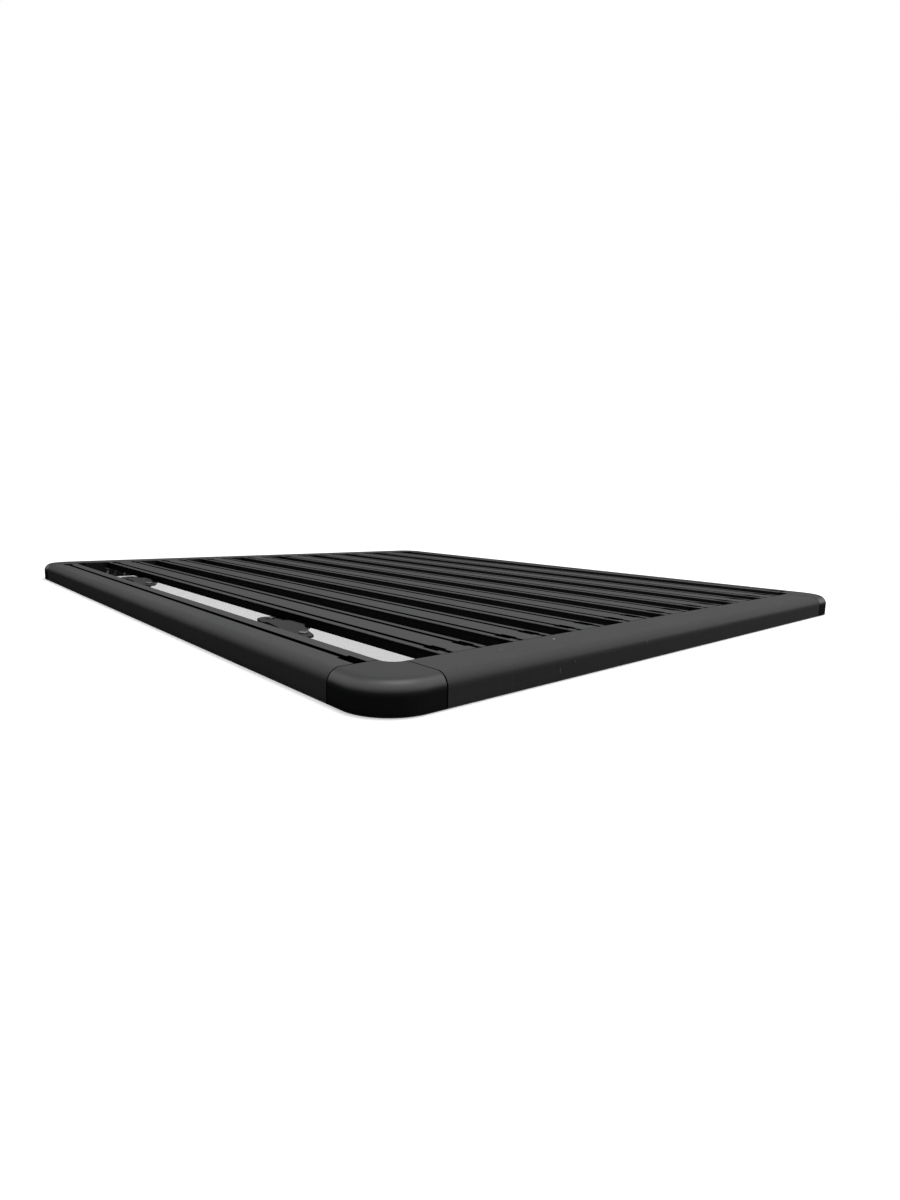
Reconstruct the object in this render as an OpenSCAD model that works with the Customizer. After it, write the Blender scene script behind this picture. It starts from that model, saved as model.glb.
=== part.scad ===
// Flat platform roof rack: eight slotted planks inside a rounded frame of two side rails,
// two end rails and four cast corners, with four saddle clamps at the outer planks.
// Millimetres. X runs across the rack, Y from its front (negative) to its rear, Z up from its lower edge.

/* [Platform] */
// Overall width across the side rails
rack_w = 1240; // [1150:10:1450]
// Overall length from the front rail to the rear rail
rack_l = 1500; // [1300:10:2200]
// Overall height of the frame
rack_h = 40; // [38:1:50]

/* [Frame rails] */
// Width of a side rail, seen from above
side_rail_w = 68; // [64:1:75]
// Width of an end rail, seen from above
end_rail_w = 71; // [66:1:80]
// Radius of the outer top edge all round the frame
edge_r = 17; // [12:1:20]
// Radius of the outer bottom edge
foot_r = 2; // [1:0.5:4]
// Radius of the inner top edges and of the planks' top edges
soft_r = 1.5; // [0.5:0.25:2]
// Thickness of the rail walls
wall_t = 2.5; // [2:0.25:4]

/* [Side rail slot] */
// From the side rail's inner edge to the middle of its slot
side_slot_in = 24.3; // [20:0.1:26]
// Width of the mouth of the side rail's slot
side_mouth_w = 8; // [6:0.5:10]
// Width inside the side rail's slot
side_cavity_w = 17; // [15:0.5:19]
// Height inside the side rail's slot
side_cavity_h = 8; // [6:0.5:10]
// Width of the entry notch at each end of the side slot
side_notch_w = 18; // [17:0.5:20]
// Length of the entry notch at each end of the side slot
side_notch_l = 36; // [25:1:45]

/* [Planks] */
// Number of planks
plank_count = 8; // [8:1:8]
// From the middle of one plank to the next
plank_pitch = 127; // [110:0.5:128]
// How far the row of planks sits to the right of the rack's middle
plank_shift = 7.5; // [-8:0.5:8]
// Width of a plank
plank_w = 77.5; // [74:0.5:80]
// Thickness of a plank
plank_t = 15.4; // [15:0.1:18]
// From the middle of one plank slot to the other
slot_pitch = 47.5; // [44:0.5:50]
// Width of the mouth of a plank slot
slot_mouth_w = 7.5; // [5:0.5:8]
// Width inside a plank slot
slot_cavity_w = 14; // [12:0.5:16]
// Height inside a plank slot
slot_cavity_h = 4.6; // [4.2:0.1:4.8]
// Thickness of the lips over a slot
lip_t = 2; // [1.5:0.25:2.5]
// Width of the entry notch in a plank slot
notch_w = 17; // [15:0.5:18]
// Length of the entry notch in a plank slot
notch_l = 28; // [20:1:36]
// From the end of a plank to its entry notch
notch_in = 16; // [10:1:24]

/* [Corner castings] */
// Radius of the outer corner, seen from above
corner_r = 63; // [50:1:64]
// Radius of the inner corner, seen from above
corner_in_r = 19; // [12:1:19]
// How far a casting reaches along the side rail, past the end rail's inner edge
corner_side_run = 20; // [19:1:35]
// How far a casting reaches along the end rail, past the side rail's inner edge
corner_end_run = 22.5; // [19:0.5:40]
// Wall of a casting
cast_t = 4; // [3:0.5:6]
// Thickness of the ribs inside a casting
rib_t = 3; // [2:0.5:4]
// Length of the spigots that plug into the rails
spigot_l = 32; // [20:1:60]
// Radius of the hole under each spigot for its screw
sink_r = 4.5; // [3:0.5:5]
// Open seam between a casting and a rail
seam = 0.5; // [0.3:0.1:1]

/* [Plank brackets] */
// Width of the bracket under a plank's end
bracket_w = 95; // [85:1:105]
// How far the bracket reaches under a plank
bracket_l = 30; // [20:1:40]
// Thickness of the bracket
bracket_t = 5; // [3:0.5:6]

/* [Saddle clamps] */
// Middle of the front pair of clamps, along the rack
clamp_front_y = -341; // [-450:1:-200]
// Middle of the rear pair of clamps, along the rack
clamp_rear_y = 351; // [200:1:450]
// How far the front clamps are turned, their noses outwards
clamp_front_turn = 7.7; // [0:0.1:9]
// How far the rear clamps are turned, their noses outwards
clamp_rear_turn = 1; // [0:0.1:9]
// From the outer plank's edge out to the middle of a clamp
clamp_out = 20.2; // [19:0.1:26]
// Distance between a clamp's two bolts
clamp_bolt_pitch = 140; // [120:1:145]
// Width of a clamp
clamp_w = 42; // [36:1:46]
// Thickness of a clamp at its bolts
clamp_t = 3; // [2.5:0.25:5]
// How much a clamp's crown rises above its ends
clamp_rise = 3.4; // [0:0.2:5]
// Length of the crown, slopes included
crown_l = 104; // [60:2:110]
// Length of each slope of the crown
crown_slope = 34; // [10:1:40]
// Radius of the nose, the narrower front end of a clamp
nose_r = 13; // [10:0.5:18]
// How far the nose reaches past the front bolt
nose_l = 24; // [18:1:30]
// From the outer slot of the plank to the end of the clamp's ear
ear_reach = 9; // [8:0.5:14]
// Length of a clamp's ear along the plank
ear_l = 44; // [30:1:50]
// Radius of the ear's bolt hole
ear_hole_r = 3.3; // [3:0.1:4]
// Thickness of the rubber pad under a clamp
pad_t = 3; // [2:0.5:4]
// Radius of a clamp bolt's shank
bolt_r = 4; // [3:0.5:4]
// Radius of a clamp bolt's head
bolt_head_r = 7; // [6:0.5:7]
// Height of a clamp bolt's head
bolt_head_h = 2.5; // [2:0.5:6]

/* [Hidden] */
$fn = 64;
clearance = 0.3;
x_inner = rack_w / 2 - side_rail_w;
y_inner = rack_l / 2 - end_rail_w;
x_seam = x_inner - corner_end_run;
y_seam = y_inner - corner_side_run;
arm_x = rack_w / 2 - corner_r;
arm_y = corner_r - rack_l / 2;
plank_under = rack_h - plank_t;
plank_l = 2 * y_inner;
side_slot_x = x_inner + side_slot_in;
side_channel_w = side_cavity_w + 2 * wall_t;
row_half = ((plank_count - 1) * plank_pitch + plank_w) / 2;
clamp_x = row_half + clamp_out;
clamp_half_l = (clamp_bolt_pitch + clamp_w) / 2 + nose_l;
clamp_under = plank_under - clamp_t;
clamp_steps = 12;
taper_start = 8;
outer_slot_x = row_half - (plank_w - slot_pitch) / 2;
ear_in = clamp_x - outer_slot_x + ear_reach;
pad_w = clamp_w - 12;
pad_l = clamp_bolt_pitch - 44;
spigot_side_in = side_slot_in + side_channel_w / 2 + clearance;
spigot_side_w = side_rail_w - wall_t - clearance - spigot_side_in;
spigot_end_in = (end_rail_w + wall_t) / 2 + clearance;
spigot_end_w = end_rail_w - wall_t - clearance - spigot_end_in;
stud_end = 2;
neck_r = bolt_r + clearance;
least_r = 0.5;
cut = 1;
charcoal = [0.17, 0.17, 0.18];
cast_grey = [0.13, 0.13, 0.14];
clamp_grey = [0.28, 0.28, 0.29];
rubber = [0.07, 0.07, 0.07];
steel = [0.55, 0.55, 0.56];

// Where plank i stands across the rack, counted from the left
function plank_x(i) = plank_shift + (i - (plank_count + 1) / 2) * plank_pitch;

// A plan or section drawn in X and Y is carried along the rack's length, from y0 over a length
module along_y(y0, length) {
    translate([0, y0 + length, 0]) rotate([90, 0, 0]) linear_extrude(length) children();
}

// What is cut off a sharp upper edge at 0 to round it, with the material to its right
module soft_cut() {
    difference() {
        translate([-cut, -soft_r]) square([cut + soft_r, soft_r + cut]);
        translate([soft_r, -soft_r]) circle(soft_r);
    }
}

// Outer section of a rail: flat top, big round outer top edge and small round outer foot.
// Its inner edge is at 0, its outer face at w. An inset keeps the big edge's centre.
module rail_outline(w, inset = 0) {
    r = edge_r - inset;
    f = max(foot_r - inset, least_r);
    high = rack_h - inset;
    out = w - inset;
    difference() {
        translate([inset, inset]) square([out - inset, high - inset]);
        translate([out - r, high - r]) square([r + cut, r + cut]);
        translate([out - f, inset - cut]) square([f + cut, f + cut]);
    }
    translate([out - r, high - r]) circle(r);
    translate([out - f, inset + f]) circle(f);
}

// Section of a slot with its mouth at height 0: a narrow mouth over a wider space
module slot_section(mouth_w, cavity_w, cavity_h) {
    translate([-mouth_w / 2, -lip_t - cut]) square([mouth_w, lip_t + 2 * cut]);
    translate([-cavity_w / 2, -lip_t - cavity_h]) square([cavity_w, cavity_h]);
}

// Section of a side rail: hollow, with the walled slot on a web inside its top
module side_rail_section() {
    channel_h = side_cavity_h + lip_t + wall_t;
    difference() {
        rail_outline(side_rail_w);
        difference() {
            rail_outline(side_rail_w, wall_t);
            translate([side_slot_in - side_channel_w / 2, rack_h - channel_h]) square([side_channel_w, channel_h]);
            translate([side_slot_in - wall_t / 2, 0]) square([wall_t, rack_h]);
        }
        translate([side_slot_in, rack_h]) slot_section(side_mouth_w, side_cavity_w, side_cavity_h);
        translate([0, rack_h]) soft_cut();
    }
}

// Section of an end rail: hollow, with one upright web
module end_rail_section() {
    difference() {
        rail_outline(end_rail_w);
        difference() {
            rail_outline(end_rail_w, wall_t);
            translate([end_rail_w / 2 - wall_t / 2, 0]) square([wall_t, rack_h]);
        }
        translate([0, rack_h]) soft_cut();
    }
}

// Hole for a spigot's screw through the floor of a rail
module sink(x, y) {
    translate([x, y, -cut]) cylinder(h = wall_t + 2 * cut, r = sink_r);
}

// Right side rail, between the corner castings, with an entry notch at each end of its slot
module side_rail() {
    run = 2 * (y_seam - seam);
    difference() {
        along_y(-run / 2, run) translate([x_inner, 0]) side_rail_section();
        for (end = [0, 1]) mirror([0, end, 0]) {
            translate([side_slot_x - side_notch_w / 2, run / 2 - side_notch_l, rack_h - lip_t - cut])
                cube([side_notch_w, side_notch_l + cut, lip_t + 2 * cut]);
            sink(x_inner + spigot_side_in + spigot_side_w / 2, y_seam - spigot_l / 2);
        }
    }
}

// Front end rail, between the corner castings
module end_rail() {
    run = 2 * (x_seam - seam);
    difference() {
        translate([-run / 2, -y_inner, 0])
            rotate([90, 0, 90])
                linear_extrude(run)
                    mirror([1, 0]) end_rail_section();
        for (end = [-1, 1])
            sink(end * (x_seam - spigot_l / 2), -y_inner - spigot_end_in - spigot_end_w / 2);
    }
}

// Section of a plank, centred: round top edges, two slots above, two below, and hollow chambers
module plank_section() {
    half = plank_w / 2;
    slot_x = slot_pitch / 2;
    core = slot_x - slot_cavity_w / 2 - lip_t;
    rim = slot_x + slot_cavity_w / 2 + lip_t;
    hollow_h = plank_t - 2 * lip_t;
    difference() {
        union() {
            translate([-half, 0]) square([plank_w, plank_t - soft_r]);
            translate([soft_r - half, 0]) square([plank_w - 2 * soft_r, plank_t]);
            for (side = [-1, 1]) translate([side * (half - soft_r), plank_t - soft_r]) circle(soft_r);
        }
        translate([-core, lip_t]) square([2 * core, hollow_h]);
        for (side = [0, 1]) mirror([side, 0]) {
            translate([rim, lip_t]) square([half - lip_t - rim, hollow_h]);
            translate([slot_x, plank_t]) slot_section(slot_mouth_w, slot_cavity_w, slot_cavity_h);
            translate([slot_x, 0]) mirror([0, 1]) slot_section(slot_mouth_w, slot_cavity_w, slot_cavity_h);
        }
    }
}

// Plank i, from end rail to end rail, with an entry notch near each end of both its upper slots
module plank(i) {
    notch_y = plank_l / 2 - notch_in - notch_l / 2;
    translate([plank_x(i), 0, plank_under])
        difference() {
            along_y(-plank_l / 2, plank_l) plank_section();
            for (side = [-1, 1], end = [-1, 1])
                translate([side * slot_pitch / 2, end * notch_y, plank_t])
                    cube([notch_w, notch_l, 2 * (lip_t + cut)], center = true);
        }
}

// A section that starts at the inner side of an arm is carried along both arms of the front right
// casting and round the quarter turn between them. Its arms stop short of the seams by `end`.
module corner_sweep(end = 0) {
    translate([arm_x, arm_y, 0]) rotate([0, 0, -90]) rotate_extrude(angle = 90) children();
    along_y(arm_y, -y_seam - arm_y - end) translate([arm_x, 0]) children();
    translate([x_seam + end, arm_y, 0])
        rotate([90, 0, 90]) linear_extrude(arm_x - x_seam - end) mirror([1, 0]) children();
}

// Plan of the casting's inner part, between its arms, with the round inner corner cut out
module corner_web_plan() {
    difference() {
        translate([x_seam, arm_y]) square([arm_x - x_seam, -y_seam - arm_y]);
        translate([x_inner - corner_in_r, corner_in_r - y_inner]) circle(corner_in_r);
        translate([x_seam - cut, -y_inner])
            square([corner_end_run - corner_in_r + cut, corner_side_run + cut]);
        translate([x_seam - cut, corner_in_r - y_inner])
            square([corner_end_run + cut, corner_side_run]);
    }
}

// What rounds the upper edge of the front right casting's inner corner
module corner_soft_edge() {
    side_l = corner_side_run - corner_in_r;
    end_l = corner_end_run - corner_in_r;
    translate([x_inner - corner_in_r, corner_in_r - y_inner, 0])
        rotate([0, 0, -90]) rotate_extrude(angle = 90) translate([corner_in_r, rack_h]) soft_cut();
    along_y(-y_seam - side_l, side_l + cut) translate([x_inner, rack_h]) soft_cut();
    translate([x_seam - cut, -y_inner, rack_h])
        rotate([90, 0, 90]) linear_extrude(end_l + cut) mirror([1, 0]) soft_cut();
}

// Spigots of the front right casting: each stands on the floor of its rail's hollow, beside the web
module spigots() {
    spigot_h = rack_h - edge_r - wall_t;
    translate([x_inner + spigot_side_in, -y_seam, wall_t]) cube([spigot_side_w, spigot_l, spigot_h]);
    translate([x_seam - spigot_l, -y_inner - spigot_end_in - spigot_end_w, wall_t])
        cube([spigot_l, spigot_end_w, spigot_h]);
}

// Front right corner casting: a ribbed shell, open below, with its two spigots
module corner() {
    rib_low = rack_h / 4;
    difference() {
        union() {
            corner_sweep() rail_outline(corner_r);
            linear_extrude(rack_h) corner_web_plan();
        }
        corner_soft_edge();
        corner_sweep(end = cast_t) {
            rail_outline(corner_r, cast_t);
            translate([cast_t, -cut]) square([corner_r - 2 * cast_t, rack_h / 2]);
        }
    }
    for (turn = [-70:25:-20])
        translate([arm_x, arm_y, rib_low]) rotate([0, 0, turn])
            translate([0, -rib_t / 2, 0]) cube([corner_r - edge_r, rib_t, rack_h - cast_t / 2 - rib_low]);
    spigots();
}

// Angle bracket under the front end of plank i: a seat, an upright leg on the end rail and three webs
module bracket(i) {
    leg_low = foot_r;
    seat_low = plank_under - bracket_t;
    translate([plank_x(i), -y_inner, 0]) {
        translate([-bracket_w / 2, 0, seat_low]) cube([bracket_w, bracket_l, bracket_t]);
        translate([-bracket_w / 2, 0, leg_low]) cube([bracket_w, bracket_t, seat_low - leg_low]);
        for (side = [-1:1])
            translate([side * (bracket_w - bracket_t) / 2 - bracket_t / 2, 0, 0])
                rotate([90, 0, 90]) linear_extrude(bracket_t)
                    polygon([[bracket_t, leg_low], [bracket_t, seat_low], [bracket_l, seat_low]]);
    }
}

// Height of a clamp's upper face at y from its middle: level ends and a crown between them, whose
// slopes ease in and out as a smooth step
function clamp_top(y) =
    let (t = min(max((crown_l / 2 - abs(y)) / crown_slope, 0), 1))
    plank_under + clamp_rise * t * t * (3 - 2 * t);

// Moves a clamp's piece from its own middle to its place beside the right outer plank
module at_clamp(y, turn) {
    translate([clamp_x, y, 0]) rotate([0, 0, turn]) children();
}

// Plan of a clamp: a round rear end, a nose that tapers away from the plank, and an ear under it
module clamp_plan() {
    half = clamp_w / 2;
    hull() {
        translate([0, clamp_bolt_pitch / 2]) circle(half);
        translate([half - nose_r, -clamp_bolt_pitch / 2]) circle(nose_r);
        translate([nose_r / 4, nose_r - nose_l - clamp_bolt_pitch / 2]) circle(nose_r);
        translate([nose_r - half, -taper_start]) circle(nose_r);
    }
    translate([-ear_in, -ear_l / 2]) square([ear_in, ear_l]);
}

// A clamp's side view, carried across it: a level underside and the crowned upper face
module clamp_side() {
    flat = crown_l / 2 - crown_slope;
    slope = [for (k = [0:clamp_steps]) flat + k * crown_slope / clamp_steps];
    rear = [for (v = slope) [v, clamp_top(v)]];
    front = [for (k = [clamp_steps:-1:0]) [-slope[k], clamp_top(slope[k])]];
    outline = concat([[-clamp_half_l, clamp_under], [-clamp_half_l, plank_under]], front, rear,
                     [[clamp_half_l, plank_under], [clamp_half_l, clamp_under]]);
    translate([-2 * clamp_w, 0, 0]) rotate([90, 0, 90]) linear_extrude(4 * clamp_w) polygon(outline);
}

// Right clamp with its middle at y, turned, its nose outwards
module clamp(y, turn) {
    difference() {
        at_clamp(y, turn) intersection() {
            linear_extrude(rack_h) clamp_plan();
            clamp_side();
        }
        translate([0, y - clamp_half_l, plank_under]) cube([row_half + clearance, 2 * clamp_half_l, rack_h]);
        at_clamp(y, turn)
            for (end = [-1, 1])
                translate([0, end * clamp_bolt_pitch / 2, 0]) cylinder(h = rack_h, r = neck_r + clearance);
        translate([outer_slot_x, y, 0]) cylinder(h = rack_h, r = ear_hole_r);
    }
}

// Rubber pad under a right clamp, between its bolts, where the crossbar lies
module clamp_pad(y, turn) {
    at_clamp(y, turn) translate([-pad_w / 2, -pad_l / 2, clamp_under - pad_t]) cube([pad_w, pad_l, pad_t]);
}

// The two bolts of a right clamp: a low round head, a neck through the clamp and the bare shank below
module clamp_bolts(y, turn) {
    at_clamp(y, turn)
        for (end = [-1, 1])
            translate([0, end * clamp_bolt_pitch / 2, 0]) {
                translate([0, 0, plank_under]) cylinder(h = bolt_head_h, r = bolt_head_r);
                translate([0, 0, clamp_under]) cylinder(h = clamp_t, r = neck_r);
                translate([0, 0, stud_end]) cylinder(h = clamp_under - stud_end, r = bolt_r);
            }
}

// The left side's pieces mirror the right side's, and the rear's mirror the front's. The clamps
// mirror about the middle of the row of planks.
module left() { mirror([1, 0, 0]) children(); }
module row_right() { translate([plank_shift, 0, 0]) children(); }
module row_left() { translate([plank_shift, 0, 0]) left() children(); }
module rear() { mirror([0, 1, 0]) children(); }

module side_rail_right() { color(charcoal) side_rail(); }
module side_rail_left() { color(charcoal) left() side_rail(); }
module end_rail_front() { color(charcoal) end_rail(); }
module end_rail_rear() { color(charcoal) rear() end_rail(); }
module corner_front_right() { color(cast_grey) corner(); }
module corner_front_left() { color(cast_grey) left() corner(); }
module corner_rear_right() { color(cast_grey) rear() corner(); }
module corner_rear_left() { color(cast_grey) rear() left() corner(); }
module plank_brackets_front() { color(cast_grey) for (i = [1:plank_count]) bracket(i); }
module plank_brackets_rear() { color(cast_grey) rear() for (i = [1:plank_count]) bracket(i); }
module clamp_front_right() { color(clamp_grey) row_right() clamp(clamp_front_y, clamp_front_turn); }
module clamp_front_left() { color(clamp_grey) row_left() clamp(clamp_front_y, clamp_front_turn); }
module clamp_rear_right() { color(clamp_grey) row_right() clamp(clamp_rear_y, clamp_rear_turn); }
module clamp_rear_left() { color(clamp_grey) row_left() clamp(clamp_rear_y, clamp_rear_turn); }
module clamp_pad_front_right() { color(rubber) row_right() clamp_pad(clamp_front_y, clamp_front_turn); }
module clamp_pad_front_left() { color(rubber) row_left() clamp_pad(clamp_front_y, clamp_front_turn); }
module clamp_pad_rear_right() { color(rubber) row_right() clamp_pad(clamp_rear_y, clamp_rear_turn); }
module clamp_pad_rear_left() { color(rubber) row_left() clamp_pad(clamp_rear_y, clamp_rear_turn); }
module clamp_bolts_front_right() { color(steel) row_right() clamp_bolts(clamp_front_y, clamp_front_turn); }
module clamp_bolts_front_left() { color(steel) row_left() clamp_bolts(clamp_front_y, clamp_front_turn); }
module clamp_bolts_rear_right() { color(steel) row_right() clamp_bolts(clamp_rear_y, clamp_rear_turn); }
module clamp_bolts_rear_left() { color(steel) row_left() clamp_bolts(clamp_rear_y, clamp_rear_turn); }

side_rail_left();
side_rail_right();
end_rail_front();
end_rail_rear();
corner_front_left();
corner_front_right();
corner_rear_left();
corner_rear_right();
for (i = [1:plank_count])
    color(charcoal) plank(i);
plank_brackets_front();
plank_brackets_rear();
clamp_front_left();
clamp_front_right();
clamp_rear_left();
clamp_rear_right();
clamp_pad_front_left();
clamp_pad_front_right();
clamp_pad_rear_left();
clamp_pad_rear_right();
clamp_bolts_front_left();
clamp_bolts_front_right();
clamp_bolts_rear_left();
clamp_bolts_rear_right();
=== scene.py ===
"""Looks of the flat platform roof rack: powder-coated rails and planks, cast corners, saddle clamps,
plated screws and rubber pads, on a pale floor under soft studio light. All lengths are in metres."""

import math

import bpy
import numpy as np
from mathutils import Matrix, Vector


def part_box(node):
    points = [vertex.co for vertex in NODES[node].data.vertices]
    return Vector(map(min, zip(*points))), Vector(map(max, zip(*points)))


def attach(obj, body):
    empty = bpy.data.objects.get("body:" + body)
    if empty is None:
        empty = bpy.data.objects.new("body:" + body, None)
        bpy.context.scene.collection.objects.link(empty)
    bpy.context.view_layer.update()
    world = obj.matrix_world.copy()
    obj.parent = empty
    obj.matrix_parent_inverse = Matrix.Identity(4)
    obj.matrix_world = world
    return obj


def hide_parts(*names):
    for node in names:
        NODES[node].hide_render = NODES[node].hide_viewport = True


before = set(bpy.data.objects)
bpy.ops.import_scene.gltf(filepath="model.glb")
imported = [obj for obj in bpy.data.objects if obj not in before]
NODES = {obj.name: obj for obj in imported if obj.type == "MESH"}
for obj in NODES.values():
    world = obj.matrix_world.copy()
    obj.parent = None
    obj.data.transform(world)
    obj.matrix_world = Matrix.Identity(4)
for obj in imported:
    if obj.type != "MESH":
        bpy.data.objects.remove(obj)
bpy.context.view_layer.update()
MM = 0.001
BODY = "root"

# Sizes of the frame, from its boxes and the slots that are cut in it

SIDE_RAIL_LOW, SIDE_RAIL_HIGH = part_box("side_rail_right")
END_RAIL_LOW, END_RAIL_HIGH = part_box("end_rail_rear")
CORNER_LOW, CORNER_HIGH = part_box("corner_rear_right")
PLANK_LOW, PLANK_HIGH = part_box("plank_1")
PLANK_MIDDLES = [sum(corner[0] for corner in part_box(f"plank_{k}")) / 2 for k in range(1, 9)]
PLANK_PITCH = PLANK_MIDDLES[1] - PLANK_MIDDLES[0]
ROW_MIDDLE = (PLANK_MIDDLES[0] + PLANK_MIDDLES[-1]) / 2
PLANK_UNDER = PLANK_LOW[2]
PLANK_SLOT_OUT = 23.75 * MM
PLANK_SLOT_W = 7.5 * MM
PLANK_NOTCH_W = 17 * MM
PLANK_NOTCH_L = 28 * MM
PLANK_NOTCH_IN = 16 * MM
RAIL_SLOT_IN = 24.3 * MM
RAIL_SLOT_W = 8 * MM
RAIL_NOTCH_W = 18 * MM
RAIL_NOTCH_L = 36 * MM
RAIL_FLOOR_T = 2.5 * MM
SEAM_W = 0.5 * MM
SEAM_X = END_RAIL_HIGH[0] + SEAM_W
SEAM_Y = SIDE_RAIL_HIGH[1] + SEAM_W

# How far the painted shade of a recess reaches past its edge, and how softly it ends

PLANK_SLOT_RIM = 0.65 * MM
RAIL_SLOT_RIM = 0.5 * MM
NOTCH_RIM = 0.02 * MM
RAIL_SEAM_RIM = 1.2 * MM
CASTING_SEAM_RIM = 0.4 * MM
INNER_WALL_REACH = 8 * MM
CRISP = 0.3 * MM
SEAM_SOFT = 0.4 * MM
WALL_SOFT = 2 * MM

# Limits, each with how softly it ends: heights on the frame, and how far up a wall may look

EDGE_LOW = (25 * MM, 7 * MM)
EDGE_HIGH = (34 * MM, 5 * MM)
STREAKS_TOP = (20 * MM, 8 * MM)
# Top of the painted shade low on the castings' outer faces
PAINTED_FACE_SHADE_TOP = (20 * MM, 12 * MM)
WALL_LOOKS_UP = (0.6, 0.2)


# Shader maths

class Value:
    """A shader socket in an expression: each operator adds one Math node to its finish."""

    def __init__(self, finish, socket):
        self.finish = finish
        self.socket = socket

    def __add__(self, other):
        return self.finish.math("ADD", self, other)

    __radd__ = __add__

    def __mul__(self, other):
        return self.finish.math("MULTIPLY", self, other)

    __rmul__ = __mul__

    def __sub__(self, other):
        return self.finish.math("SUBTRACT", self, other)

    def __rsub__(self, other):
        return self.finish.math("SUBTRACT", other, self)


class Finish:
    """A material, or the world, whose nodes are added one call at a time."""

    def __init__(self, made):
        made.use_nodes = True
        self.made = made
        self.tree = made.node_tree
        self.tree.nodes.clear()
        self.place = self.add("ShaderNodeTexCoord").outputs["Object"]

    def add(self, kind, settings=None, sockets=None):
        """A node of this type: its settings first, then the values or links of its sockets."""
        node = self.tree.nodes.new(kind)
        for name, value in (settings or {}).items():
            setattr(node, name, value)
        for name, value in (sockets or {}).items():
            value = value.socket if isinstance(value, Value) else value
            if isinstance(value, bpy.types.NodeSocket):
                self.tree.links.new(value, node.inputs[name])
            else:
                node.inputs[name].default_value = value
        return node

    def value(self, socket):
        """A socket as a value for an expression."""
        return Value(self, socket)

    def axes(self):
        """Distances across and along from the middle of the rack, and the height."""
        split = self.add("ShaderNodeSeparateXYZ", None, {0: self.place})
        x, y, z = (self.value(socket) for socket in split.outputs)
        return self.math("ABSOLUTE", x), self.math("ABSOLUTE", y), z

    def under(self, value, limit, soft):
        """1 where the value is under the limit, 0 past it by more than soft, smooth between."""
        return 1 - self.band(value, limit, limit + soft)

    def either(self, *values):
        """The greatest of several values."""
        most = values[0]
        for value in values[1:]:
            most = self.math("MAXIMUM", most, value)
        return most

    def upright(self):
        """1 on walls, 0 on faces that lie flat."""
        normal = self.add("ShaderNodeNewGeometry").outputs["True Normal"]
        facing_up = self.add("ShaderNodeSeparateXYZ", None, {0: normal}).outputs[2]
        return self.under(self.math("ABSOLUTE", self.value(facing_up)), *WALL_LOOKS_UP)

    def seen(self):
        """1 for rays from the camera, off gloss or through clear things, 0 for light that bounces."""
        rays = self.add("ShaderNodeLightPath").outputs
        seen = self.value(rays["Is Camera Ray"]) + self.value(rays["Is Glossy Ray"])
        return self.band(seen + self.value(rays["Is Transmission Ray"]), 0, 1)

    def rounding(self):
        """1 on the frame's big round edge, 0 on its top and its faces."""
        height = self.axes()[2]
        return (1 - self.under(height, *EDGE_LOW)) * self.under(height, *EDGE_HIGH)

    def math(self, operation, a, b=0.0):
        """One Math node on two values or numbers."""
        return self.value(self.add("ShaderNodeMath", {"operation": operation}, {0: a, 1: b}).outputs[0])

    def band(self, value, low, high):
        """0 where the value is under low, 1 where it is over high, smooth between them."""
        settings = {"interpolation_type": "SMOOTHSTEP"}
        sockets = {"Value": value, "From Min": low, "From Max": high}
        return self.value(self.add("ShaderNodeMapRange", settings, sockets).outputs[0])

    def stretched(self, factors):
        """The object's own coordinates times these factors, for a pattern longer one way."""
        sockets = {0: self.place, 1: factors}
        return self.add("ShaderNodeVectorMath", {"operation": "MULTIPLY"}, sockets).outputs[0]

    def noise(self, size, detail=2.0, place=None):
        """Noise from 0 to 1 whose patches are about this many metres across."""
        sockets = {"Vector": place or self.place, "Scale": 1 / size, "Detail": detail}
        return self.value(self.add("ShaderNodeTexNoise", None, sockets).outputs[0])

    def distance(self, point, squash=1.0):
        """Distance from a point, in metres, with heights counted at this factor."""
        place = self.place if squash == 1.0 else self.stretched((1.0, 1.0, squash))
        sockets = {0: place, 1: (point[0], point[1], point[2] * squash)}
        apart = self.add("ShaderNodeVectorMath", {"operation": "DISTANCE"}, sockets)
        return self.value(apart.outputs["Value"])

    def blend(self, factor, a, b):
        """Colour a where the factor is 0, colour b where it is 1."""
        node = self.add("ShaderNodeMix", {"data_type": "RGBA"}, {0: factor, 6: a, 7: b})
        return node.outputs[2]

    def edges(self, radius):
        """1 on edges and corners sharper than this radius, 0 on open faces."""
        soft = self.add("ShaderNodeBevel", {"samples": 6}, {"Radius": radius}).outputs[0]
        true = self.add("ShaderNodeNewGeometry").outputs["Normal"]
        dot = self.add("ShaderNodeVectorMath", {"operation": "DOT_PRODUCT"}, {0: soft, 1: true})
        return self.band(1 - self.value(dot.outputs["Value"]), 0.01, 0.2)

    def close(self, colour, roughness, height, depth, **others):
        """The Principled shader, with a bump of this height map and depth, and its other sockets."""
        bump = self.add("ShaderNodeBump", None, {"Height": height, "Distance": depth, "Strength": 1.0})
        sockets = {"Base Color": colour, "Roughness": roughness, "Normal": bump.outputs[0]}
        sockets.update({name.replace("_", " "): value for name, value in others.items()})
        shader = self.add("ShaderNodeBsdfPrincipled", None, sockets)
        self.add("ShaderNodeOutputMaterial", None, {"Surface": shader.outputs[0]})
        return self.made


def shade(level, tint=(1.0, 1.0, 1.0)):
    """A colour of this brightness, slightly tinted."""
    return (level * tint[0], level * tint[1], level * tint[2], 1.0)


# Painted shade: how dark recesses are painted, as a fraction of a coat's level, and how much of it the
# walls get
PAINTED_SHADE_DIM = 0.08
PAINTED_WALL_SHADE = 0.88
COOL = (0.985, 0.99, 1.0)
WARM = (1.0, 0.985, 0.96)


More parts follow.
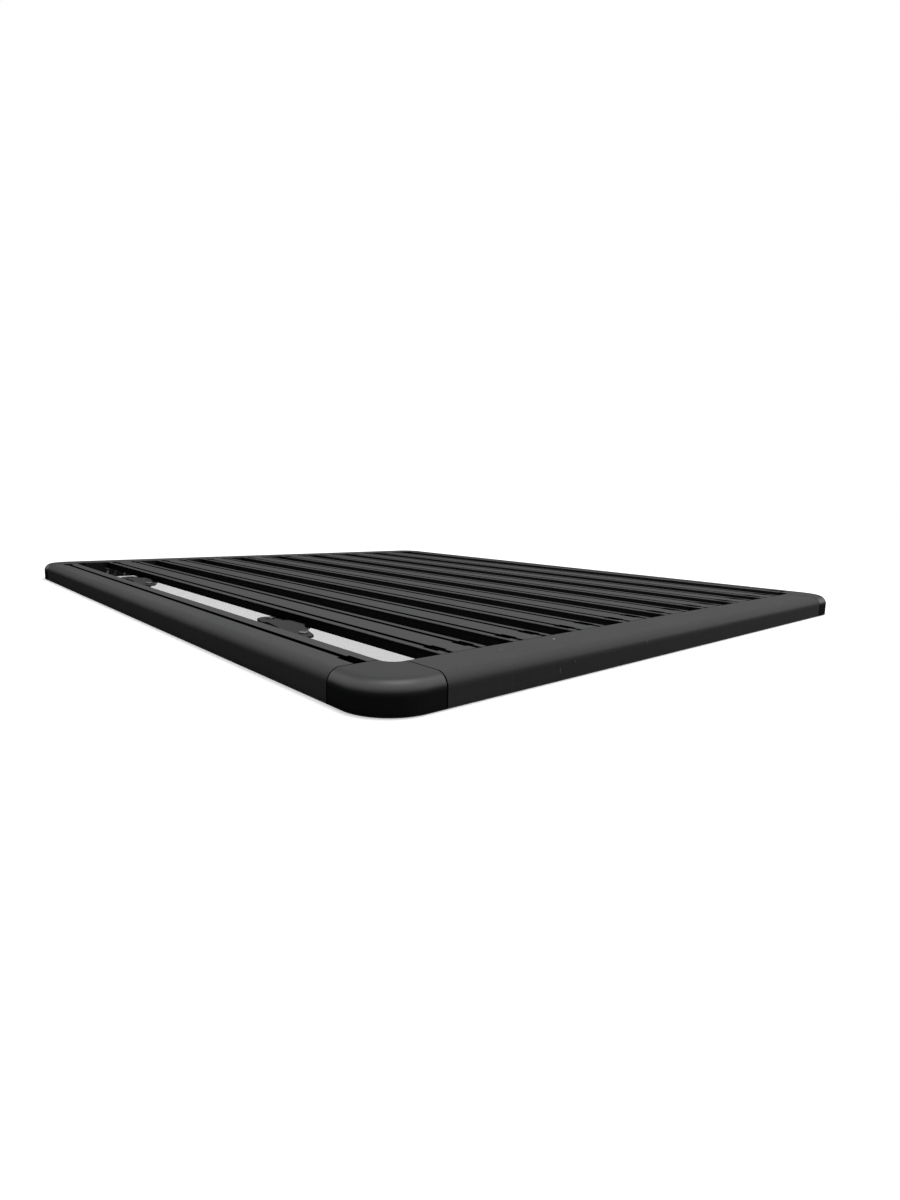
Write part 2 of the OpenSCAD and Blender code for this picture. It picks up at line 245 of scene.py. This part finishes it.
def plank_painted_shade(finish):
    """Painted shade mask: 1 in a plank's slots and entry notches, less on its walls, 0 on its top.
    The planks repeat, so the place across is folded about each plank's middle."""
    along = finish.axes()[1]
    across = finish.value(finish.add("ShaderNodeSeparateXYZ", None, {0: finish.place}).outputs[0])
    half_pitch = PLANK_PITCH / 2
    from_middle = finish.math("PINGPONG", across + (half_pitch - ROW_MIDDLE), half_pitch)
    off_slot = finish.math("ABSOLUTE", from_middle - PLANK_SLOT_OUT)
    notch_middle = PLANK_HIGH[1] - PLANK_NOTCH_IN - PLANK_NOTCH_L / 2
    off_notch = finish.math("ABSOLUTE", along - notch_middle)
    in_notch = (finish.under(off_slot, PLANK_NOTCH_W / 2 + NOTCH_RIM, CRISP)
                * finish.under(off_notch, PLANK_NOTCH_L / 2 + NOTCH_RIM, CRISP))
    in_mouth = finish.under(off_slot, PLANK_SLOT_W / 2 + PLANK_SLOT_RIM, CRISP)
    return finish.either(in_mouth, in_notch, PAINTED_WALL_SHADE * finish.upright())


def side_rail_painted_shade(finish):
    """Painted shade mask: 1 in a side rail's slot and entry notches and at its seams, less on its
    inner wall, 0 on the rest."""
    across, along = finish.axes()[:2]
    slot_middle = SIDE_RAIL_LOW[0] + RAIL_SLOT_IN
    off_slot = finish.math("ABSOLUTE", across - slot_middle)
    notch_start = SIDE_RAIL_HIGH[1] - RAIL_NOTCH_L
    in_notch = (finish.under(off_slot, RAIL_NOTCH_W / 2 + NOTCH_RIM, CRISP)
                * (1 - finish.under(along, notch_start - CRISP, CRISP)))
    in_mouth = finish.under(off_slot, RAIL_SLOT_W / 2 + RAIL_SLOT_RIM, CRISP)
    inside = PAINTED_WALL_SHADE * finish.upright() * finish.under(across, slot_middle + RAIL_NOTCH_W, WALL_SOFT)
    seams = 1 - finish.under(along, SIDE_RAIL_HIGH[1] - RAIL_SEAM_RIM, SEAM_SOFT)
    return finish.either(in_mouth, in_notch, inside, seams)


def end_rail_painted_shade(finish):
    """Painted shade mask: 1 at an end rail's seams, less on its inner wall, 0 on its top and outside.
    """
    across, along = finish.axes()[:2]
    inner_wall = finish.under(along, END_RAIL_LOW[1] + INNER_WALL_REACH, WALL_SOFT)
    seams = 1 - finish.under(across, END_RAIL_HIGH[0] - RAIL_SEAM_RIM, SEAM_SOFT)
    return finish.either(PAINTED_WALL_SHADE * finish.upright() * inner_wall, seams)


def casting_painted_shade(finish):
    """Painted shade mask: 1 on a casting's inner walls and at its seams, 0 on its top and outside."""
    across, along = finish.axes()[:2]
    inside = (finish.under(across, SIDE_RAIL_LOW[0] + INNER_WALL_REACH, WALL_SOFT)
              * finish.under(along, END_RAIL_LOW[1] + INNER_WALL_REACH, WALL_SOFT) * finish.upright())
    seams = finish.either(finish.under(across, SEAM_X + CASTING_SEAM_RIM, SEAM_SOFT),
                          finish.under(along, SEAM_Y + CASTING_SEAM_RIM, SEAM_SOFT))
    return finish.either(inside, seams)


def powder_coat(name, level, along, painted_shade_mask, grain=0.00045, depth=0.000025, marks=()):
    """Satin powder coat: fine grain over a soft orange peel, faint draw lines along the extrusion,
    rain streaks low on the outer faces, a lighter wear on edges, painted shade in its recesses, seams
    and on its inner walls, and small marks, each given as its place, radius, how its height is
    counted, strength and tone. Its coat layer shines on the big round edge alone."""
    finish = Finish(bpy.data.materials.new(name))
    speckle = finish.noise(grain, 3.0)
    peel = finish.noise(0.0035, 2.0)
    cloud = finish.noise(0.22, 3.0)
    drawn = finish.noise(0.004, 2.0, finish.stretched(along))
    edge = finish.edges(0.0009)
    worn = edge * finish.band(finish.noise(0.012, 3.0), 0.42, 0.62)
    dust = finish.band(finish.noise(0.05, 5.0), 0.5, 0.75)
    streak = finish.band(finish.noise(0.005, 3.0, finish.stretched((1.0, 1.0, 0.06))), 0.5, 0.8)
    streak = streak * finish.under(finish.axes()[2], *STREAKS_TOP)
    colour = finish.blend(cloud, shade(level * 0.95, COOL), shade(level * 1.04, COOL))
    colour = finish.blend(streak * 0.15, colour, shade(level * 1.9, WARM))
    colour = finish.blend(finish.band(speckle, 0.62, 0.8) * 0.2, colour, shade(level * 1.6, COOL))
    colour = finish.blend(dust * 0.07, colour, shade(level * 1.5, WARM))
    colour = finish.blend(worn * 0.2, colour, shade(level * 1.8, WARM))
    painted_shade = painted_shade_mask(finish)
    # Painted shade: slots, notches, seams and inner walls are painted nearly black
    colour = finish.blend(painted_shade, colour, shade(level * PAINTED_SHADE_DIM, COOL))
    sheen = finish.rounding() * (1 - painted_shade)
    rough = 0.5 + 0.06 * (speckle - 0.5) + 0.05 * (drawn - 0.5) + 0.05 * dust - 0.06 * worn
    for point, radius, squash, amount, tone in marks:
        ragged = finish.distance(point, squash) + finish.noise(radius, 2.0) * (radius * 0.9)
        mark = finish.under(ragged, radius, radius * 0.3)
        colour = finish.blend(mark * amount, colour, shade(tone, WARM))
        rough = rough - 0.1 * mark
    height = speckle * 0.55 + peel * 0.45 + drawn * 0.06
    return finish.close(colour, rough, height, depth, Specular_IOR_Level=0.0,
                        Coat_Weight=0.06 * sheen, Coat_Roughness=0.4, Coat_IOR=2.0)


def cast_coat(name, level, shaded_face_level=None):
    """Coat over a casting: a coarser, pebbled grain with shallow pores and lighter edges. With a face
    level, painted shade darkens the outer faces downwards, painted shade makes the inner walls and
    seams darkest, and the big round edge shines."""
    finish = Finish(bpy.data.materials.new(name))
    pebble = finish.noise(0.0011, 3.0)
    fine = finish.noise(0.0004, 2.0)
    cloud = finish.noise(0.06, 3.0)
    edge = finish.edges(0.0009)
    worn = edge * finish.band(finish.noise(0.009, 3.0), 0.42, 0.6)
    pore = finish.band(finish.noise(0.0022, 1.0), 0.74, 0.82)
    colour = finish.blend(cloud, shade(level * 0.94, COOL), shade(level * 1.05, COOL))
    colour = finish.blend(finish.band(pebble, 0.6, 0.8) * 0.25, colour, shade(level * 1.5, COOL))
    colour = finish.blend(worn * 0.25, colour, shade(level * 1.8, WARM))
    sheen = 0.0
    if shaded_face_level:
        painted_shade = casting_painted_shade(finish)
        painted_low_shade = finish.under(finish.axes()[2], *PAINTED_FACE_SHADE_TOP)
        # Painted shade: the outer face is painted darker low down
        colour = finish.blend(painted_low_shade, colour, shade(shaded_face_level, COOL))
        # Painted shade on the inner walls and at the seams
        colour = finish.blend(painted_shade, colour, shade(level * PAINTED_SHADE_DIM, COOL))
        sheen = finish.rounding() * (1 - painted_shade)
    rough = 0.45 + 0.08 * (pebble - 0.5) - 0.05 * worn
    height = pebble * 0.6 + fine * 0.3 - pore * 0.8
    return finish.close(colour, rough, height, 0.00005, Specular_IOR_Level=0.0,
                        Coat_Weight=0.36 * sheen, Coat_Roughness=0.45, Coat_IOR=2.0)


def steel_coat(name, level):
    """Thin black coat on bent and welded steel: smooth, with faint rolling marks and scuffs."""
    finish = Finish(bpy.data.materials.new(name))
    fine = finish.noise(0.0007, 3.0)
    rolled = finish.noise(0.002, 2.0, finish.stretched((0.08, 1.0, 1.0)))
    scuff = finish.band(finish.noise(0.02, 4.0), 0.56, 0.7)
    worn = finish.edges(0.0008) * finish.band(finish.noise(0.008, 2.0), 0.4, 0.6)
    colour = finish.blend(finish.noise(0.04, 2.0), shade(level * 0.9), shade(level * 1.12))
    colour = finish.blend(scuff * 0.15 + worn * 0.3, colour, shade(level * 2.6, WARM))
    rough = 0.42 + 0.12 * scuff + 0.06 * (rolled - 0.5)
    height = fine * 0.5 + rolled * 0.3
    return finish.close(colour, rough, height, 0.00003, Specular_IOR_Level=0.06)


def rubber(name, level):
    """Black rubber: matt, finely dimpled, with a pale bloom in places."""
    finish = Finish(bpy.data.materials.new(name))
    dimple = finish.noise(0.0009, 2.0)
    bloom = finish.band(finish.noise(0.02, 4.0), 0.45, 0.75)
    colour = finish.blend(bloom * 0.5, shade(level), shade(level * 2.2, WARM))
    return finish.close(colour, 0.78 + 0.1 * (dimple - 0.5), dimple, 0.00006, Specular_IOR_Level=0.2)


def plated_steel(name, level):
    """Zinc plate on steel: bright, with a soft mottle, fine turning marks and dull patches."""
    finish = Finish(bpy.data.materials.new(name))
    mottle = finish.noise(0.0016, 4.0)
    turning = finish.noise(0.0006, 2.0)
    dull = finish.band(finish.noise(0.005, 3.0), 0.5, 0.7)
    colour = finish.blend(mottle, shade(level * 0.86, COOL), shade(level * 1.08, COOL))
    colour = finish.blend(dull * 0.3, colour, shade(level * 0.7, WARM))
    rough = 0.36 + 0.14 * dull + 0.1 * (mottle - 0.5)
    return finish.close(colour, rough, turning * 0.6 + mottle * 0.4, 0.00002, Metallic=0.9)


# New meshes

CREASE = math.radians(35)


def linked(name, data):
    """A new object of this data, in the scene."""
    made = bpy.data.objects.new(name, data)
    bpy.context.scene.collection.objects.link(made)
    return made


def turned(rings, around, thread_pitch=1.25 * MM):
    """One closed turned part about the Z axis, worked out over (ring, angle): at angle u a ring's
    radius is r times one less its six-sidedness times what a hexagon falls short of its corners,
    less its thread depth times a triangle wave of height over pitch minus u over a full turn. The
    rings run from the top's middle down the outside; the first and last are single points."""
    rings = np.array(rings) * [MM, MM, 1.0, MM]
    angle = np.arange(around) * 2 * math.pi / around
    height, radius, six, thread = (column[:, None] for column in rings[1:-1].T)
    hexagon = math.cos(math.pi / 6) / np.cos(angle % (math.pi / 3) - math.pi / 6)
    phase = (height / thread_pitch - angle / (2 * math.pi)) % 1
    reach = radius * (1 - six * (1 - hexagon)) - thread * np.abs(2 * phase - 1)
    grid = np.stack([reach * np.cos(angle), reach * np.sin(angle), height + 0 * angle], axis=-1)
    poles = [[0, 0, rings[0, 0]], [0, 0, rings[-1, 0]]]
    points = np.concatenate([grid.reshape(-1, 3), poles])
    count = len(rings) - 2
    a = (np.arange(count - 1)[:, None] * around + np.arange(around)).ravel()
    b = (np.arange(count - 1)[:, None] * around + (np.arange(around) + 1) % around).ravel()
    quads = np.stack([a, a + around, b + around, b], axis=1)
    first = np.arange(around)
    second = (first + 1) % around
    last = (count - 1) * around
    top = np.full(around, len(points) - 2)
    bottom = np.full(around, len(points) - 1)
    fans = np.concatenate([
        np.stack([top, first, second], axis=1),
        np.stack([bottom, last + second, last + first], axis=1)])
    return points, quads, fans


def placed(part, places, turns=None):
    """Copies of one part at each place, each first turned by its 3 by 3 matrix."""
    points, quads, fans = part
    places = np.array(places, float)
    turns = np.broadcast_to(np.eye(3), (len(places), 3, 3)) if turns is None else np.array(turns, float)
    moved = np.einsum("kij,nj->kni", turns, points) + places[:, None, :]
    step = (np.arange(len(places)) * len(points))[:, None, None]
    return moved.reshape(-1, 3), (quads[None] + step).reshape(-1, 4), (fans[None] + step).reshape(-1, 3)


def piece(name, parts, material):
    """One mesh of several parts, riding on the rack, its edges sharp past the crease angle."""
    points, faces, start = [], [], 0
    for part_points, quads, fans in parts:
        points.append(part_points)
        faces += (quads + start).tolist() + (fans + start).tolist()
        start += len(part_points)
    mesh = bpy.data.meshes.new(name)
    mesh.from_pydata(np.concatenate(points).tolist(), [], faces)
    mesh.polygons.foreach_set("use_smooth", [True] * len(mesh.polygons))
    mesh.set_sharp_from_angle(angle=CREASE)
    mesh.materials.append(material)
    made = linked(name, mesh)
    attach(made, BODY)
    return made


def ring_stack(*rows):
    """Rings given as (height, radius, six-sidedness, thread depth), the last two 0 if left out."""
    return [tuple(row) + (0.0,) * (4 - len(row)) for row in rows]


def threads(top, length, radius, pitch, steps_a_turn=8):
    """Rings of a thread that starts and ends shallow, from this height down."""
    steps = int(length / pitch * steps_a_turn)
    depth = 0.5 * pitch
    run_out = 6
    return [(top - length * k / steps, radius, 0.0, depth * min(k / run_out, (steps - k) / run_out, 1))
            for k in range(steps + 1)]


def clamp_screw(lug, free):
    """A screw with a low, flat round head and a six-sided socket, seated at height 0, with a plain
    neck through the lug and this many millimetres of thread below it."""
    head = ring_stack(
        (0.5, 0), (0.5, 1.5, 1), (0.6, 2.6, 1), (2.1, 2.65, 1), (2.3, 2.9, 0.7), (2.3, 3.3), (2.5, 3.7),
        (2.5, 6.2), (2.38, 6.65), (2.1, 6.92), (1.7, 7.0), (0.2, 7.0), (0, 6.8), (0, 4.25),
        (0.3 - lug, 4.25), (-lug, 3.95))
    thread = threads(-lug - 0.2, free - 1.0, 3.95, 1.25)
    end = ring_stack((0.4 - lug - free, 3.6), (-lug - free, 3.0), (-lug - free, 0))
    return turned(head + thread + end, 36)


def slot_bolt(lips, ear):
    """A bolt that hangs in a slot, with height 0 at the slot's mouth: its flat head on the lips, the
    shank down through the ear, then a washer, a nut and the end of the thread. Height is in
    millimetres, and the washer and nut are rings of the same turned part."""
    seat = -ear
    upper = ring_stack(
        (lips + 3.4, 0), (lips + 3.4, 5.4), (lips + 3.1, 5.8), (lips + 0.3, 5.8), (lips, 5.6),
        (lips, 2.95), (seat, 2.95), (seat, 6.1), (seat - 0.15, 6.25), (seat - 1.05, 6.25),
        (seat - 1.2, 6.1))
    nut = ring_stack(
        (seat - 1.2, 4.7), (seat - 1.25, 4.75), (seat - 1.7, 5.77, 1), (seat - 5.7, 5.77, 1),
        (seat - 6.2, 4.75), (seat - 6.2, 3.3), (seat - 6.0, 2.95))
    thread = threads(seat - 6.2, 2.6, 2.95, 1.0)
    end = ring_stack((seat - 9.1, 2.7), (seat - 9.4, 2.2), (seat - 9.4, 0))
    return turned(upper + nut + thread + end, 36, 1.0 * MM)


def sunk_screw(depth):
    """A low round head with a six-sided socket, lying in a hole, with height 0 at the face it is
    screwed to and its top this many millimetres above."""
    return turned(ring_stack(
        (depth - 1.6, 0), (depth - 1.6, 1.2, 1), (depth - 1.5, 2.0, 1), (depth - 0.15, 2.05, 1),
        (depth, 2.3, 0.6), (depth, 3.5), (depth - 0.25, 4.0), (depth - 0.7, 4.2), (0.1, 4.2), (0, 4.1),
        (0, 0)), 24)


def hex_screw(corner, height):
    """A six-sided head of this radius over its corners and this height, in millimetres, with a
    chamfered top, on its own round face, seated at height 0."""
    flat = corner * math.cos(math.pi / 6)
    return turned(ring_stack(
        (height, 0), (height, flat * 0.55), (height, flat * 0.94), (height - 0.5, corner, 1),
        (0.6, corner, 1), (0.5, flat * 0.98), (0, flat * 0.98), (0, 0)), 24)


# Finishes on the frame

# Marks on the front rail: place, radius, how heights are counted, strength and tone
MARKS = (
    ((-0.2926, -0.6993, 0.0400), 0.0022, 1.0, 1.0, 0.62),
    ((-0.3995, -0.7034, 0.0400), 0.0050, 1.0, 0.1, 0.3),
    ((-0.0898, -0.7030, 0.0400), 0.0016, 1.0, 0.8, 0.02),
    ((-0.3403, -0.7500, 0.0141), 0.0012, 0.2, 0.6, 0.3),
    ((-0.3105, -0.7500, 0.0213), 0.0012, 0.5, 0.6, 0.3),
    ((-0.1424, -0.7498, 0.0270), 0.0012, 0.25, 0.6, 0.3),
)
ALONG_Y = (1.0, 0.02, 1.0)
ALONG_X = (0.02, 1.0, 1.0)
# The side and end rails wear one powder coat: its level is painted lighter on the side rails and darker
# on the end rails, as painted light and shade
rail_coat = powder_coat("side_rail_powder_coat", 0.104, ALONG_Y, side_rail_painted_shade)
end_coat = powder_coat("end_rail_powder_coat", 0.094, ALONG_X, end_rail_painted_shade, marks=MARKS)
plank_coat = powder_coat("plank_powder_coat", 0.102, ALONG_Y, plank_painted_shade, grain=0.0004)
casting_coat = cast_coat("corner_cast_coat", 0.088, 0.03)
bracket_coat = steel_coat("bracket_black_coat", 0.03)
clamp_coat = cast_coat("clamp_cast_coat", 0.068)
pad_rubber = rubber("pad_rubber", 0.02)
zinc = plated_steel("screw_zinc_plate", 0.1)
black_zinc = plated_steel("screw_black_plate", 0.03)

FINISHES = {
    "side_rail": rail_coat,
    "end_rail": end_coat,
    "plank_brackets": bracket_coat,
    "plank": plank_coat,
    "corner": casting_coat,
    "clamp_pad": pad_rubber,
    "clamp_bolts": zinc,
    "clamp": clamp_coat,
}
for name, node in NODES.items():
    kind = next(start for start in FINISHES if name.startswith(start))
    node.data.materials.clear()
    node.data.materials.append(FINISHES[kind])


# Screws in the clamps

LUG_T = PLANK_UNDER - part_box("clamp_front_left")[0][2]
BOLT_PITCH = 140 * MM
SLOT_LIP_T = 2 * MM
TURN = {"front": math.radians(7.7), "rear": math.radians(1.0)}
SIDES = (("left", -1), ("right", 1))
for end, angle in TURN.items():
    for side, sign in SIDES:
        low, high = np.array(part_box(f"clamp_bolts_{end}_{side}"))
        middle = (low + high) / 2
        half = np.array([sign * math.sin(angle), -math.cos(angle)]) * BOLT_PITCH / 2
        seats = [(*(middle[:2] + step * half), PLANK_UNDER) for step in (-1, 1)]
        screw = clamp_screw(LUG_T / MM, (PLANK_UNDER - LUG_T - low[2]) / MM)
        screws = piece(f"clamp_screws_{end}_{side}", [placed(screw, seats)], zinc)
        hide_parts(f"clamp_bolts_{end}_{side}")

slot_bolts = []
for end in TURN:
    for (side, sign), plank_middle in zip(SIDES, (PLANK_MIDDLES[0], PLANK_MIDDLES[-1])):
        low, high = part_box(f"clamp_bolts_{end}_{side}")
        slot_bolts.append((plank_middle + sign * PLANK_SLOT_OUT, (low[1] + high[1]) / 2, PLANK_UNDER))
bolt = slot_bolt(SLOT_LIP_T / MM, LUG_T / MM)
piece("clamp_slot_bolts", [placed(bolt, slot_bolts)], zinc)


# Screws in the plank brackets and under the castings' spigots

UPSIDE_DOWN = ((1, 0, 0), (0, -1, 0), (0, 0, -1))
BRACKET_T = 5 * MM
SEAT_SCREW_OUT = 19 * MM
LEG_SCREW_HEIGHT = 9.5 * MM
SEAT_HEAD = (5.8, 4.0)
LEG_HEAD = (5.0, 3.0)
slot_lines = [middle + step * PLANK_SLOT_OUT for middle in PLANK_MIDDLES for step in (-1, 1)]
for end, sign in (("front", 1), ("rear", -1)):
    low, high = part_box(f"plank_brackets_{end}")
    wall_y = low[1] if end == "front" else high[1]
    seat_low = high[2] - BRACKET_T
    into_rack = ((1, 0, 0), (0, 0, sign), (0, -sign, 0))
    seats = [(x, wall_y + sign * SEAT_SCREW_OUT, seat_low) for x in slot_lines]
    legs = [(x, wall_y + sign * BRACKET_T, LEG_SCREW_HEIGHT) for x in slot_lines]
    parts = [placed(hex_screw(*SEAT_HEAD), seats, [UPSIDE_DOWN] * len(seats)),
             placed(hex_screw(*LEG_HEAD), legs, [into_rack] * len(legs))]
    piece(f"bracket_screws_{end}", parts, black_zinc)

SIDE_SPIGOT_IN = 17.6 * MM
END_SPIGOT_IN = 18.4 * MM
spigots = ((CORNER_HIGH[0] - SIDE_SPIGOT_IN, (CORNER_LOW[1] + SEAM_Y) / 2),
           ((CORNER_LOW[0] + SEAM_X) / 2, CORNER_HIGH[1] - END_SPIGOT_IN))
sunk = [(x * across, y * along, RAIL_FLOOR_T)
        for across, along in spigots for x in (-1, 1) for y in (-1, 1)]
screw = sunk_screw(RAIL_FLOOR_T / MM - 0.2)
piece("casting_screws", [placed(screw, sunk, [UPSIDE_DOWN] * len(sunk))], black_zinc)


# Camera, at the photograph's place and angle

IMAGE_H = 1200
FOCUS_PX = 661.54
SENSOR = 36.0
YAW, PITCH, ROLL = (math.radians(angle) for angle in (42.311, 8.155, -1.471))
CAMERA_AT = (-0.98411, -1.24976, 0.21418)
ahead = np.array([math.sin(YAW) * math.cos(PITCH), math.cos(YAW) * math.cos(PITCH), -math.sin(PITCH)])
level_right = np.array([math.cos(YAW), -math.sin(YAW), 0.0])
level_down = np.cross(ahead, level_right)
right = math.cos(ROLL) * level_right + math.sin(ROLL) * level_down
down = math.cos(ROLL) * level_down - math.sin(ROLL) * level_right
lens = bpy.data.cameras.new("camera")
lens.sensor_width = SENSOR
lens.lens = FOCUS_PX * SENSOR / IMAGE_H
lens.clip_start = 0.01
camera = linked("camera", lens)
turn = Matrix(np.stack([right, -down, -ahead], axis=1))
camera.matrix_world = Matrix.Translation(CAMERA_AT) @ turn.to_4x4()
bpy.context.scene.camera = camera


# Light

def softbox(name, at, aim, width, height, strength, spread=180):
    """A soft rectangular lamp that looks from one point to another. Its strength is its radiance,
    and its spread, in degrees, is how widely it throws its light."""
    lamp = bpy.data.lights.new(name, "AREA")
    lamp.shape = "RECTANGLE"
    lamp.size = width
    lamp.size_y = height
    lamp.energy = strength * math.pi * width * height
    lamp.spread = math.radians(spread)
    turn = (Vector(at) - Vector(aim)).to_track_quat("Z", "Y")
    linked(name, lamp).matrix_world = Matrix.Translation(at) @ turn.to_matrix().to_4x4()


softbox("overhead_light", at=(0.4, -0.4, 4.5), aim=(0, 0, 0), width=2.6, height=2.6, strength=10.0)
softbox("front_light", at=(1.9, -1.9, 0.5), aim=(0.4, -0.7, 0), width=1.0, height=0.6, strength=4.3)
softbox("under_light", at=(0, 0, -4.5), aim=(0, 0, 0), width=1.6, height=1.6, strength=2.6, spread=30)

WORLD_DIM = 0.03
studio = Finish(bpy.data.worlds.new("studio"))
daylight = studio.add("ShaderNodeMapRange", None, {"Value": studio.seen(), "To Min": WORLD_DIM})
sockets = {"Color": shade(1.0), "Strength": daylight.outputs[0]}
backdrop = studio.add("ShaderNodeBackground", None, sockets)
studio.add("ShaderNodeOutputWorld", None, {"Surface": backdrop.outputs[0]})
bpy.context.scene.world = studio.made


# Floor

def floor_finish():
    """Pale floor: a white that keeps shadows for the camera and for reflections, brighter far from
    the rack where the lamps fall off, and a dim grey for the light that bounces. Seen from beneath
    it is clear, and it lets the lamp under it through."""
    finish = Finish(bpy.data.materials.new("floor"))
    far = finish.band(finish.distance((0, 0, 0)), 0.9, 2.6)
    lit = finish.add("ShaderNodeBsdfDiffuse", None, {"Color": shade(0.86)})
    glowing = finish.blend(far, shade(0.52), shade(0.98))
    glow = finish.add("ShaderNodeEmission", None, {"Color": glowing})
    white = finish.add("ShaderNodeAddShader", None, {0: lit.outputs[0], 1: glow.outputs[0]})
    dim = finish.add("ShaderNodeBsdfDiffuse", None, {"Color": shade(0.2)})
    mix = {0: finish.seen(), 1: dim.outputs[0], 2: white.outputs[0]}
    above = finish.add("ShaderNodeMixShader", None, mix)
    clear = finish.add("ShaderNodeBsdfTransparent")
    under_side = finish.value(finish.add("ShaderNodeNewGeometry").outputs["Backfacing"])
    toward_lamp = finish.value(finish.add("ShaderNodeLightPath").outputs["Is Shadow Ray"])
    mix = {0: finish.either(under_side, toward_lamp), 1: above.outputs[0], 2: clear.outputs[0]}
    both = finish.add("ShaderNodeMixShader", None, mix)
    finish.add("ShaderNodeOutputMaterial", None, {"Surface": both.outputs[0]})
    return finish.made


FLOOR_HALF = 30.0
FLOOR_GAP = 0.0005
ground = bpy.data.meshes.new("floor")
corners = [(x * FLOOR_HALF, y * FLOOR_HALF, -FLOOR_GAP)
           for x, y in ((-1, -1), (1, -1), (1, 1), (-1, 1))]
ground.from_pydata(corners, [], [(0, 1, 2, 3)])
ground.materials.append(floor_finish())
floor = linked("floor", ground)

bpy.context.scene.view_settings.view_transform = "Standard"
